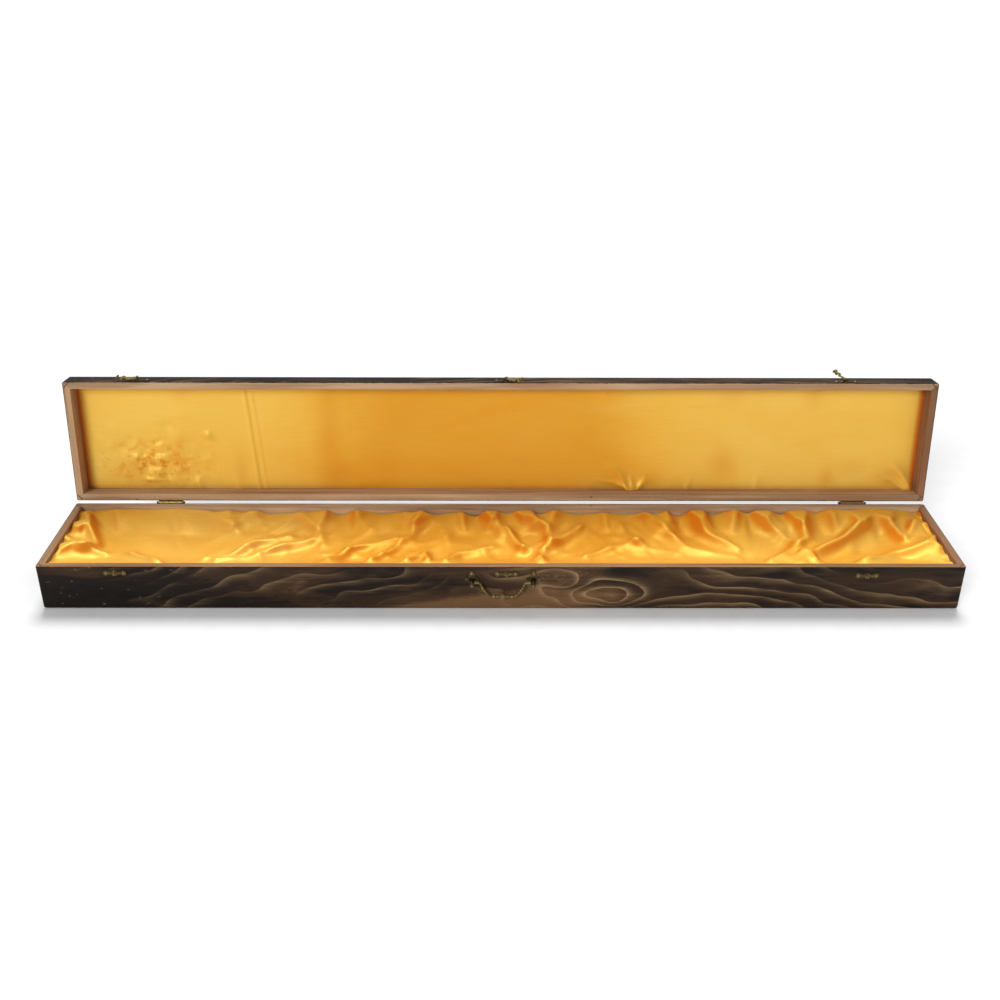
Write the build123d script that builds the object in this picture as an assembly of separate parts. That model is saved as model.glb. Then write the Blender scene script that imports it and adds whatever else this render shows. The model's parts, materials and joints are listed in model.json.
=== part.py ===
from build123d import *
import math
import os

# A long wooden presentation box for a sword, standing open.
# Millimetres. X runs along the length, Y from front to back, Z up.
# The origin is the centre of the base's underside.
# Lid pieces are drawn closed and then swung open about the hinge pins.

# Case
LENGTH = 1120.0
DEPTH = 161.0
BASE_HEIGHT = 60.0
LID_HEIGHT = 30.0
BOARD = 9.0
PANEL = 4.0
REBATE = 4.0
RIM_GAP = 0.2
BASE_EDGE_ROUND = 3.5
LID_EDGE_ROUND = 4.0
CORNER_ROUND = 2.0
LID_OPEN_DEG = 97.5

# Hinges
HINGE_X = (-436.7, 465.5)
HINGE_LENGTH = 31.0
HINGE_LEAF_DROP = 14.0
HINGE_LEAF_THICK = 1.0
BARREL_R = 2.6
BARREL_OFFSET = 2.7
HINGE_PIN_R = 1.2
HINGE_RUNNING = 0.05
KNUCKLES = 5
KNUCKLE_GAP = 0.2
HINGE_NAILS = ((-10.5, 8.0), (0.0, 10.8), (10.5, 8.0))
STOP_REACH = 6.0
STOP_THICK = 1.3
STOP_PLAY = 0.02

# Latches on the lid and catches on the base
SIDES = ("left", "centre", "right")
LATCH_X = (-466.0, 5.5, 441.5)
CATCH_Z = (51.7, 50.5, 48.5)
LATCH_REACH = 16.5
LATCH_SWING_DEG = (-74.0, 58.0, -63.0)
LATCH_LIFT_DEG = (0.0, 0.0, 27.6)
PLATE_THICK = 1.0
LATCH_NAIL_X = 12.0
CATCH_NAIL_X = 10.7
CROSS_PIN_HEIGHT = 4.0
CROSS_PIN_R = 0.8
LEVER_WIDTH = 3.0
LEVER_BAR = 2.0
THROAT_R = 2.3
THROAT_WALL = 1.7
KNOB_TILT_DEG = 35.0
STUD_R = 1.3
STUD_HEIGHT = 4.9

# Bail handle
HANDLE_X = 0.75
HANDLE_HALF = 37.25
HANDLE_Z = 41.0
HANDLE_PLATE = 1.2
POST_HEIGHT = 5.5
POST_BALL_R = 3.3
BAIL_PIN_R = 1.3
BAIL_R = 1.5
BAIL_DROP = 19.0

# Nails
NAIL_HEAD_R = 1.8
NAIL_HEAD_H = 1.1
NAIL_SHANK_R = 0.7
NAIL_LENGTH = 7.0

# Soft furnishing
WADDING_TOP = 26.0
LINING_TOP = 46.0
SOFT_CLEARANCE = 0.3
LID_SATIN_DEPTH = 22.2
LID_SATIN_THICK = 1.0
LID_CARD_THICK = 1.0

AXIS_Y = DEPTH / 2 + BARREL_OFFSET
AXIS_Z = BASE_HEIGHT + RIM_GAP / 2
LID_RIM = BASE_HEIGHT + RIM_GAP
LID_TOP = LID_RIM + LID_HEIGHT
HINGE_AXIS = Axis((0, AXIS_Y, AXIS_Z), (1, 0, 0))


def join(pieces):
    """Fuse a list of overlapping shapes into one solid."""
    whole = pieces[0]
    for piece in pieces[1:]:
        whole = whole + piece
    return max(whole.solids(), key=lambda solid: solid.volume)


def block(x0, x1, y0, y1, z0, z1):
    """Box given by its limits."""
    centre = ((x0 + x1) / 2, (y0 + y1) / 2, (z0 + z1) / 2)
    return Pos(*centre) * Box(x1 - x0, y1 - y0, z1 - z0)


def rod(radius, z0, z1, x=0.0, y=0.0):
    """Cylinder along Z between two heights."""
    return Pos(x, y, (z0 + z1) / 2) * Cylinder(radius, z1 - z0)


def rod_x(radius, x0, x1, y=0.0, z=0.0):
    """Cylinder along X between two stations."""
    turned = Rot(0, 90, 0) * Cylinder(radius, x1 - x0)
    return Pos((x0 + x1) / 2, y, z) * turned


def on_front(x, z):
    """Frame on the front faces: local x right, y up, z outward."""
    return Location(Plane((x, -DEPTH / 2, z), x_dir=(1, 0, 0), z_dir=(0, -1, 0)))


def on_back(x, z):
    """Frame on the back faces: local x left, y up, z outward."""
    return Location(Plane((x, DEPTH / 2, z), x_dir=(-1, 0, 0), z_dir=(0, 1, 0)))


def opened(shape):
    """Swing a closed lid piece to its standing-open place."""
    return shape.rotate(HINGE_AXIS, -LID_OPEN_DEG)


def save(name, shapes, swing=False):
    """Write one node; several shapes become a group of separate solids."""
    placed = [opened(shape) for shape in shapes] if swing else list(shapes)
    solids = [solid for shape in placed for solid in shape.solids()]
    node = solids[0] if len(solids) == 1 else Compound(children=solids)
    export_step(node, f"parts/{name}.step")


# ---------------------------------------------------------------- nails


def domed_nail():
    """Decorative nail: domed head above z = 0, shank and point below."""
    sphere_r = (NAIL_HEAD_R**2 + NAIL_HEAD_H**2) / (2 * NAIL_HEAD_H)
    dome = Pos(0, 0, NAIL_HEAD_H - sphere_r) * Sphere(sphere_r)
    head = dome & block(-3, 3, -3, 3, 0, 3)
    point = Pos(0, 0, -NAIL_LENGTH - 0.5) * Rot(180, 0, 0) * Cone(NAIL_SHANK_R, 0.1, 1.0)
    return join([head, rod(NAIL_SHANK_R, -NAIL_LENGTH, 0.1), point])


def nail_hole():
    """The wood or metal that a decorative nail takes away."""
    point = Pos(0, 0, -NAIL_LENGTH - 0.5) * Rot(180, 0, 0) * Cone(NAIL_SHANK_R, 0.1, 1.0)
    return rod(NAIL_SHANK_R, -NAIL_LENGTH, 3.0) + point


def panel_nail():
    """Flush flat-headed nail pointing up from z = 0."""
    return join([rod(1.5, 0.0, 0.8), rod(0.6, 0.7, 15.0)])


# ---------------------------------------------------------------- case


def frame_ring(z0, z1, rounded_z, edge_round, panel_z):
    """Four-sided wall with rounded outside edges and a rebate for the panel."""
    outer = block(-LENGTH / 2, LENGTH / 2, -DEPTH / 2, DEPTH / 2, z0, z1)
    outer = fillet(outer.edges().filter_by(Axis.Z), CORNER_ROUND)
    rim = [edge for edge in outer.edges() if abs(edge.center().Z - rounded_z) < 0.01]
    outer = fillet(rim, edge_round)
    inner = block(
        -LENGTH / 2 + BOARD,
        LENGTH / 2 - BOARD,
        -DEPTH / 2 + BOARD,
        DEPTH / 2 - BOARD,
        z0 - 1,
        z1 + 1,
    )
    wall = BOARD - REBATE
    rebate = block(
        -LENGTH / 2 + wall,
        LENGTH / 2 - wall,
        -DEPTH / 2 + wall,
        DEPTH / 2 - wall,
        panel_z[0],
        panel_z[1],
    )
    return outer - inner - rebate


def mitre_prisms(z0, z1):
    """Mitred prisms that part the ring into front, back, left and right."""
    far_x, far_y = LENGTH / 2, DEPTH / 2
    near_x, near_y = far_x - BOARD, far_y - BOARD
    outlines = {
        "front": [(-far_x, -far_y), (far_x, -far_y), (near_x, -near_y), (-near_x, -near_y)],
        "back": [(far_x, far_y), (-far_x, far_y), (-near_x, near_y), (near_x, near_y)],
        "left": [(-far_x, far_y), (-far_x, -far_y), (-near_x, -near_y), (-near_x, near_y)],
        "right": [(far_x, -far_y), (far_x, far_y), (near_x, near_y), (near_x, -near_y)],
    }
    prisms = {}
    for name, corners in outlines.items():
        face = Pos(0, 0, z0 - 1) * make_face(Polyline(*corners, close=True))
        prisms[name] = extrude(face, z1 - z0 + 2, dir=(0, 0, 1))
    return prisms


def floor_panel(z0, z1):
    """Panel that fills the rebate."""
    half_x = LENGTH / 2 - BOARD + REBATE
    half_y = DEPTH / 2 - BOARD + REBATE
    return block(-half_x, half_x, -half_y, half_y, z0, z1)


def panel_nail_spots():
    """Nail stations round a panel, over the middle of the rebate ledge."""
    reach_x = LENGTH / 2 - BOARD + REBATE / 2
    reach_y = DEPTH / 2 - BOARD + REBATE / 2
    spots = []
    for x in (-520.0, -260.0, 0.0, 260.0, 520.0):
        spots += [(x, -reach_y), (x, reach_y)]
    for y in (-40.0, 40.0):
        spots += [(-reach_x, y), (reach_x, y)]
    return spots


def staple(down):
    """Wire staple let flush into a rim across the mitre; down is the leg direction."""
    half, thick, leg = 4.5, 0.6, 7.0
    crown = block(-half, half, -0.5, 0.5, min(0, down * thick), max(0, down * thick))
    legs = []
    for x in (-half, half - 0.9):
        legs.append(block(x, x + 0.9, -0.5, 0.5, min(0, down * leg), max(0, down * leg)))
    return join([crown] + legs)


def corner_staples(z, down):
    """One staple across each mitre of a rim."""
    reach_x, reach_y = LENGTH / 2 - BOARD / 2, DEPTH / 2 - BOARD / 2
    made = []
    for sx, sy in ((-1, -1), (1, -1), (1, 1), (-1, 1)):
        across = -45 * sx * sy
        made.append(Pos(sx * reach_x, sy * reach_y, z) * Rot(0, 0, across) * staple(down))
    return made


def corner_brads():
    """Small round brads in the lid rim, beside the front corners."""
    made = []
    for sx in (-1, 1):
        spot = Pos(sx * (LENGTH / 2 - 13.5), -DEPTH / 2 + BOARD / 2, LID_RIM)
        made.append(spot * join([rod(1.1, 0.0, 0.6), rod(0.6, 0.5, 12.0)]))
    return made


# ---------------------------------------------------------------- hinges


def knuckle_spans(first):
    """X spans of every second knuckle, starting from the given one."""
    pitch = HINGE_LENGTH / KNUCKLES
    spans = []
    for i in range(first, KNUCKLES, 2):
        start = -HINGE_LENGTH / 2 + i * pitch
        spans.append((start + KNUCKLE_GAP / 2, start + pitch - KNUCKLE_GAP / 2))
    return spans


def stop_lip(x0, x1):
    """Heel of the base leaf that the open lid's leaf comes to rest on."""
    turn = math.radians(LID_OPEN_DEG)
    reach = -BARREL_OFFSET + HINGE_LEAF_THICK
    corner_y, corner_z = reach * math.cos(turn), -reach * math.sin(turn)

    def rest_height(y):
        return corner_z + (y - corner_y) / math.tan(turn) - STOP_PLAY

    inner = 1.5
    outline = [
        (inner, rest_height(inner)),
        (STOP_REACH, rest_height(STOP_REACH)),
        (STOP_REACH, rest_height(STOP_REACH) - STOP_THICK),
        (inner, rest_height(inner) - 2 * STOP_THICK),
    ]
    wire = Polyline(*[(x0, y, z) for y, z in outline], close=True)
    return extrude(make_face(wire), x1 - x0, dir=(1, 0, 0))


def hinge_leaf(up, first, hole_r, stops):
    """Leaf about a pin along local X at the origin; up is +1 for the lid's leaf."""
    inner, outer = -BARREL_OFFSET, -BARREL_OFFSET + HINGE_LEAF_THICK
    half = HINGE_LENGTH / 2
    near, far = 0.3 * up, HINGE_LEAF_DROP * up
    leaf = block(-half, half, inner, outer, min(near, far), max(near, far))
    tips = [e for e in leaf.edges().filter_by(Axis.Y) if abs(e.center().Z - far) < 0.01]
    leaf = fillet(tips, 2.5)
    for x0, x1 in knuckle_spans(1 - first):
        leaf = leaf - rod_x(BARREL_R + 0.2, x0 - KNUCKLE_GAP, x1 + KNUCKLE_GAP)
    pieces = [leaf]
    for x0, x1 in knuckle_spans(first):
        pieces.append(rod_x(BARREL_R, x0, x1))
        if stops:
            pieces.append(stop_lip(x0, x1))
    whole = join(pieces) - rod_x(hole_r, -half - 1, half + 1)
    for x, drop in HINGE_NAILS:
        whole = whole - Pos(x, -BARREL_OFFSET, drop * up) * Rot(90, 0, 0) * rod(NAIL_SHANK_R, -5, 5)
    return whole.solids()[0]


def hinge_pin():
    """Pin with a small ball at each end."""
    half = HINGE_LENGTH / 2 + 1.7
    ends = [Pos(x, 0, 0) * Sphere(1.7) for x in (-half, half)]
    return join([rod_x(HINGE_PIN_R, -half, half)] + ends)


def hinge_nail_places(up):
    """Frames of the hinge nails on one row of leaves, closed."""
    places = []
    for x in HINGE_X:
        for dx, drop in HINGE_NAILS:
            places.append(on_back(x + dx, AXIS_Z + drop * up) * Pos(0, 0, HINGE_LEAF_THICK))
    return places


# ---------------------------------------------------------------- latches


def lobed_plate(nail_x, end_r, middle_r, waist):
    """Flat fitting with a round lobe at each end and one in the middle."""
    outline = Circle(middle_r) + Rectangle(2 * nail_x, waist)
    for x in (-nail_x, nail_x):
        outline = outline + Pos(x, 0) * Circle(end_r)
    plate = extrude(outline, PLATE_THICK)
    top = [e for e in plate.edges() if abs(e.center().Z - PLATE_THICK) < 0.01]
    plate = chamfer(top, 0.25)
    for x in (-nail_x, nail_x):
        plate = plate - rod(NAIL_SHANK_R, -1, 3, x)
    return plate


def latch_plate():
    """Lid fitting with a hole for the swivel stem."""
    plate = lobed_plate(LATCH_NAIL_X, 3.2, 4.5, 4.6) - rod(1.55, -1, 3)
    return plate.solids()[0]


def catch_plate():
    """Base fitting with a hole for the stud."""
    plate = lobed_plate(CATCH_NAIL_X, 3.7, 4.1, 4.8) - rod(STUD_R, -1, 3)
    return plate.solids()[0]


def swivel():
    """Fork that turns on the lid fitting; the stem is clinched behind it."""
    pieces = [rod(2.5, -1.0, -0.35), rod(1.5, -0.9, 1.3), rod(3.5, 1.05, 1.8)]
    for x in (-2.15, 2.15):
        pieces.append(block(x - 0.5, x + 0.5, -1.8, 1.8, 1.7, CROSS_PIN_HEIGHT))
        pieces.append(rod_x(1.8, x - 0.5, x + 0.5, 0, CROSS_PIN_HEIGHT))
    return join(pieces) - rod_x(CROSS_PIN_R, -4, 4, 0, CROSS_PIN_HEIGHT)


def cross_pin():
    """Pin through the fork."""
    return rod_x(CROSS_PIN_R, -3.0, 3.0, 0, CROSS_PIN_HEIGHT)


def lever():
    """Hook lever hanging along local -Y, with an arched throat and a mushroom knob."""
    low, high = CROSS_PIN_HEIGHT - LEVER_BAR / 2, CROSS_PIN_HEIGHT + LEVER_BAR / 2
    half = LEVER_WIDTH / 2
    arch_z = CROSS_PIN_HEIGHT - 0.8
    arch = rod_x(THROAT_R + THROAT_WALL, -half, half, -LATCH_REACH, arch_z)
    arch = arch & block(-half, half, -LATCH_REACH - 9, 0, arch_z - 0.6, arch_z + 9)
    eye = rod_x(1.9, -half, half, 0, CROSS_PIN_HEIGHT)
    arm = block(-half, half, -LATCH_REACH + THROAT_R + 0.6, 0, low, high)
    tail = block(-half, half, -LATCH_REACH - 5.0, -LATCH_REACH - THROAT_R - 0.4, low, high)
    body = join([arch, eye, arm, tail])
    body = body - rod_x(THROAT_R, -9, 9, -LATCH_REACH, arch_z)
    body = body - block(-9, 9, -LATCH_REACH - THROAT_R, -LATCH_REACH + THROAT_R, 0, arch_z)
    body = body - rod_x(CROSS_PIN_R + 0.05, -9, 9, 0, CROSS_PIN_HEIGHT)
    knob = join([rod(1.15, -1.2, 3.2), Pos(0, 0, 3.3) * Cone(2.6, 3.4, 1.0), mushroom_cap()])
    knob_place = Pos(0, -LATCH_REACH - 4.4, CROSS_PIN_HEIGHT) * Rot(90 - KNOB_TILT_DEG, 0, 0)
    return join([body.solids()[0], knob_place * knob])


def mushroom_cap():
    """Domed cap of the lever's knob."""
    dome = Pos(0, 0, 1.2) * Sphere(4.3)
    return dome & rod(3.4, 3.7, 6.0)


def catch_stud():
    """Stud the throat of a lever drops over."""
    top = Pos(0, 0, STUD_HEIGHT - 0.7) * Sphere(1.45)
    return join([rod(STUD_R, -4.0, STUD_HEIGHT - 0.4), rod(2.3, PLATE_THICK, 1.7), top])


def lever_place(i):
    """Frame of a latch lever: on the swivel, swung on the face and lifted off it."""
    swing = latch_frame(i) * Rot(0, 0, LATCH_SWING_DEG[i])
    pivot = Pos(0, 0, CROSS_PIN_HEIGHT)
    return swing * pivot * Rot(-LATCH_LIFT_DEG[i], 0, 0) * pivot.inverse()


def latch_frame(i):
    """Frame on the closed lid's front at the centre of one latch."""
    return on_front(LATCH_X[i], CATCH_Z[i] + LATCH_REACH)


def catch_frame(i):
    """Frame on the base's front at the centre of one catch."""
    return on_front(LATCH_X[i], CATCH_Z[i])


def nail_places(frame_of, nail_x):
    """Frames of the two nails in each of three fittings."""
    return [frame_of(i) * Pos(x, 0, PLATE_THICK) for i in range(3) for x in (-nail_x, nail_x)]


# ---------------------------------------------------------------- handle


PLATE_LOBES = ((0.0, 9.6, 3.2), (0.0, -7.2, 2.6))
PLATE_POINTS = ((2.0, -7.2), (6.8, 2.6), (1.0, 14.3), (-1.0, 14.3), (-6.8, 2.6), (-2.0, -7.2))


def handle_plate():
    """Leaf-shaped fitting with side lobes and a bored ball post for the bail."""
    outline = Circle(3.8) + make_face(Polyline(*PLATE_POINTS, close=True))
    for x, y, r in PLATE_LOBES:
        outline = outline + Pos(x, y) * Circle(r)
    for side in (-1, 1):
        outline = outline + Pos(side * 6.4, 2.4) * Circle(2.1)
        outline = outline - Pos(side * 5.3, 7.0) * Circle(1.9)
        outline = outline - Pos(side * 5.0, -3.0) * Circle(1.8)
    plate = extrude(outline, HANDLE_PLATE).solids()[0]
    post = [rod(2.9, 0.5, 2.2), rod(2.3, 1.0, 4.0), Pos(0, 0, POST_HEIGHT) * Sphere(POST_BALL_R)]
    whole = join([plate] + post) - rod_x(BAIL_PIN_R + 0.05, -9, 9, 0, POST_HEIGHT)
    for x, y, _ in PLATE_LOBES:
        whole = whole - rod(NAIL_SHANK_R, -1, 3, x, y)
    return whole.solids()[0]


BAIL_ROUTE = ((34.0, 0.0), (27.4, 0.0), (23.3, -9.4), (15.6, -BAIL_DROP))
BAIL_BEND = 3.0
BAIL_BEADS = ((1, 0.84, 2.1), (2, 0.14, 2.6), (2, 0.44, 2.0))
BAIL_COLLARS = ((10.9, 1.5, 2.2), (6.7, 0.7, 2.0), (2.2, 2.7, 2.6))


def bail():
    """Bail with beaded shoulders, collars and a round boss in the middle."""
    right = [(x, y, 0) for x, y in BAIL_ROUTE]
    left = [(-x, y, 0) for x, y in reversed(BAIL_ROUTE)]
    path = FilletPolyline(*right, *left, radius=BAIL_BEND)
    start = Plane(right[0], z_dir=(-1, 0, 0))
    pieces = [sweep(start * Circle(BAIL_R), path=path)]
    for side in (-1, 1):
        ends = sorted((side * 33.4, side * 39.2))
        pieces.append(rod_x(BAIL_PIN_R, ends[0], ends[1]))
        for leg, share, radius in BAIL_BEADS:
            a, b = BAIL_ROUTE[leg], BAIL_ROUTE[leg + 1]
            middle = (side * (a[0] + share * (b[0] - a[0])), a[1] + share * (b[1] - a[1]), 0)
            along = (side * (b[0] - a[0]), b[1] - a[1], 0)
            pieces.append(Location(Plane(middle, z_dir=along)) * Sphere(radius))
        for x, half, radius in BAIL_COLLARS:
            ends = sorted((side * (x - half), side * (x + half)))
            pieces.append(rod_x(radius, ends[0], ends[1], -BAIL_DROP, 0))
    pieces.append(rod(3.5, -1.1, 1.6, 0, -BAIL_DROP))
    pieces.append(Pos(0, -BAIL_DROP, 0.8) * Sphere(2.6))
    return Pos(0, 0, POST_HEIGHT) * join(pieces)


# ---------------------------------------------------------------- write every node


os.makedirs("parts", exist_ok=True)

base_staples = corner_staples(BASE_HEIGHT, -1)
lid_staples = corner_staples(LID_RIM, 1)
brads = corner_brads()
bottom_nails = [Pos(x, y, 0) * panel_nail() for x, y in panel_nail_spots()]
top_nails = [Pos(x, y, LID_TOP) * Rot(180, 0, 0) * panel_nail() for x, y in panel_nail_spots()]

catch_nails = nail_places(catch_frame, CATCH_NAIL_X)
latch_nails = nail_places(latch_frame, LATCH_NAIL_X)
hinge_base_nails = hinge_nail_places(-1)
hinge_lid_nails = hinge_nail_places(1)
handle_frames = [on_front(HANDLE_X + side * HANDLE_HALF, HANDLE_Z) for side in (-1, 1)]
handle_nails = [f * Pos(x, y, HANDLE_PLATE) for f in handle_frames for x, y, _ in PLATE_LOBES]

catch_stud_holes = [catch_frame(i) * rod(STUD_R, -4.0, 1.0) for i in range(3)]
swivel_pockets = [latch_frame(i) * rod(2.8, -1.4, 0.5) for i in range(3)]

hole = nail_hole()
cuts = {
    "base_front": [p * hole for p in catch_nails + handle_nails] + catch_stud_holes,
    "base_back": [p * hole for p in hinge_base_nails],
    "lid_front": [p * hole for p in latch_nails] + swivel_pockets,
    "lid_back": [p * hole for p in hinge_lid_nails],
}

base_ring = frame_ring(0, BASE_HEIGHT, 0.0, BASE_EDGE_ROUND, (-1.0, PANEL))
lid_ring = frame_ring(LID_RIM, LID_TOP, LID_TOP, LID_EDGE_ROUND, (LID_TOP - PANEL, LID_TOP + 1))

parts_of_case = (
    ("base", base_ring, mitre_prisms(0, BASE_HEIGHT), base_staples + bottom_nails),
    ("lid", lid_ring, mitre_prisms(LID_RIM, LID_TOP), lid_staples + brads + top_nails),
)
for half, ring, prisms, shared in parts_of_case:
    for side, prism in prisms.items():
        board = ring & prism
        for cut in shared + cuts.get(f"{half}_{side}", []):
            board = board - cut
        save(f"{half}_{side}_board", [board], swing=(half == "lid"))

bottom = floor_panel(0, PANEL)
top = floor_panel(LID_TOP - PANEL, LID_TOP)
for nail in bottom_nails:
    bottom = bottom - nail
for nail in top_nails:
    top = top - nail
save("base_bottom_panel", [bottom])
save("lid_top_panel", [top], swing=True)
save("bottom_panel_nails", bottom_nails)
save("top_panel_nails", top_nails, swing=True)
save("base_corner_staples", base_staples)
save("lid_corner_staples", lid_staples, swing=True)
save("lid_corner_brads", brads, swing=True)

soft_x = LENGTH / 2 - BOARD - SOFT_CLEARANCE
soft_y = DEPTH / 2 - BOARD - SOFT_CLEARANCE
wadding = block(-soft_x, soft_x, -soft_y, soft_y, PANEL + SOFT_CLEARANCE, WADDING_TOP)
lining = block(-soft_x, soft_x, -soft_y, soft_y, WADDING_TOP + SOFT_CLEARANCE, LINING_TOP)
satin_z = LID_RIM + LID_SATIN_DEPTH
lid_wadding_z = satin_z + LID_SATIN_THICK + 0.1
card_z = LID_TOP - PANEL - LID_CARD_THICK
lid_satin = block(-soft_x, soft_x, -soft_y, soft_y, satin_z, satin_z + LID_SATIN_THICK)
lid_wadding = block(-soft_x, soft_x, -soft_y, soft_y, lid_wadding_z, card_z - 0.1)
card = block(-soft_x, soft_x, -soft_y, soft_y, card_z, LID_TOP - PANEL)
save("base_wadding", [wadding])
save("base_satin_lining", [lining])
save("lid_satin_panel", [lid_satin], swing=True)
save("lid_wadding", [lid_wadding], swing=True)
save("lid_backing_card", [card], swing=True)

base_leaf = hinge_leaf(-1, 0, HINGE_PIN_R, True)
lid_leaf = hinge_leaf(1, 1, HINGE_PIN_R + HINGE_RUNNING, False)
for name, x in zip(("left", "right"), HINGE_X):
    place = Pos(x, AXIS_Y, AXIS_Z)
    save(f"{name}_hinge_base_leaf", [place * base_leaf])
    save(f"{name}_hinge_lid_leaf", [place * lid_leaf], swing=True)
    save(f"{name}_hinge_pin", [place * hinge_pin()])

nail = domed_nail()
save("hinge_base_nails", [p * nail for p in hinge_base_nails])
save("hinge_lid_nails", [p * nail for p in hinge_lid_nails], swing=True)
save("latch_plate_nails", [p * nail for p in latch_nails], swing=True)
save("catch_plate_nails", [p * nail for p in catch_nails])
save("handle_plate_nails", [p * nail for p in handle_nails])

for i, name in enumerate(SIDES):
    turned = latch_frame(i) * Rot(0, 0, LATCH_SWING_DEG[i])
    save(f"{name}_latch_plate", [latch_frame(i) * latch_plate()], swing=True)
    save(f"{name}_latch_swivel", [turned * swivel()], swing=True)
    save(f"{name}_latch_cross_pin", [turned * cross_pin()], swing=True)
    save(f"{name}_latch_lever", [lever_place(i) * lever()], swing=True)
    save(f"{name}_catch_plate", [catch_frame(i) * catch_plate()])
    save(f"{name}_catch_stud", [catch_frame(i) * catch_stud()])

for name, frame in zip(("left", "right"), handle_frames):
    save(f"handle_{name}_plate", [frame * handle_plate()])
save("handle_bail", [on_front(HANDLE_X, HANDLE_Z) * bail()])
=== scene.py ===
import json
import math

import bpy
import numpy as np
from mathutils import Matrix, Vector


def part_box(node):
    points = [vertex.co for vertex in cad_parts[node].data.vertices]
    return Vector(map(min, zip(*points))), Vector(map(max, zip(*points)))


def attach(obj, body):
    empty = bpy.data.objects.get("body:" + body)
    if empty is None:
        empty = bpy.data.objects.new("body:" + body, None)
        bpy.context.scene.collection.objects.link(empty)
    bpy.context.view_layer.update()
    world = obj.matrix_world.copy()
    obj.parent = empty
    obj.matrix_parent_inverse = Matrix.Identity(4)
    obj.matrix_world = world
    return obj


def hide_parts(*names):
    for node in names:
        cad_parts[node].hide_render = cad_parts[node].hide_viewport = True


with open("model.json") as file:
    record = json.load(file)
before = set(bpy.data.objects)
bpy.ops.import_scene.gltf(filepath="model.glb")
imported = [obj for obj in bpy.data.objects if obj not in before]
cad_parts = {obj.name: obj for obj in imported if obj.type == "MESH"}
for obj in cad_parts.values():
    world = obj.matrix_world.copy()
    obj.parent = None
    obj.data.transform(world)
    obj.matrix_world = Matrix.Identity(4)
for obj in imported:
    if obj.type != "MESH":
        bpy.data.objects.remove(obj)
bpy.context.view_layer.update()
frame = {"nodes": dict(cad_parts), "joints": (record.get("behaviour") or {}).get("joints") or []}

# Looks for a long wooden sword box standing open: satin, wadding, wood, bronze and wire.
# Metres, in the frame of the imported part. X along the length, Y to the back, Z up.

SEED = 20

# Camera, at the angle the box is seen from
CAMERA_PLACE = Vector((-0.0124, -1.289, 0.7963))
CAMERA_PITCH = math.radians(28.08)
CAMERA_YAW = math.radians(0.451)
CAMERA_ROLL = math.radians(0.276)
CAMERA_LENS = 42.31
CAMERA_SENSOR = 36.0

# The case, read from the frame
LID_JOINT = next(j for j in frame["joints"] if j["name"] == "lid_hinge")
LID_ANGLE = math.radians(LID_JOINT["range_deg"][1])
LID_PIVOT = Vector(LID_JOINT["pos_m"])
LID_OPEN = (
    Matrix.Translation(LID_PIVOT)
    @ Matrix.Rotation(-LID_ANGLE, 4, "X")
    @ Matrix.Translation(-LID_PIVOT)
)
LID_SHUT = LID_OPEN.inverted()

FRONT_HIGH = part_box("base_front_board")[1]
BACK_LOW, BACK_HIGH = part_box("base_back_board")
INNER_X = (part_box("base_left_board")[1].x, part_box("base_right_board")[0].x)
INNER_Y = (FRONT_HIGH.y, BACK_LOW.y)
RIM = FRONT_HIGH.z
BOARD = BACK_HIGH.y - BACK_LOW.y


def shut_box(node):
    """Corners of a lid node with the lid swung shut."""
    points = np.array([LID_SHUT @ v.co for v in frame["nodes"][node].data.vertices])
    return Vector(points.min(0)), Vector(points.max(0))


# ---------------------------------------------------------------- material tools


def rgb(text):
    """Linear colour from a hexadecimal screen colour."""
    values = [int(text[i : i + 2], 16) / 255 for i in (1, 3, 5)]
    linear = [v / 12.92 if v <= 0.04045 else ((v + 0.055) / 1.055) ** 2.4 for v in values]
    return (*linear, 1.0)


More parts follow.
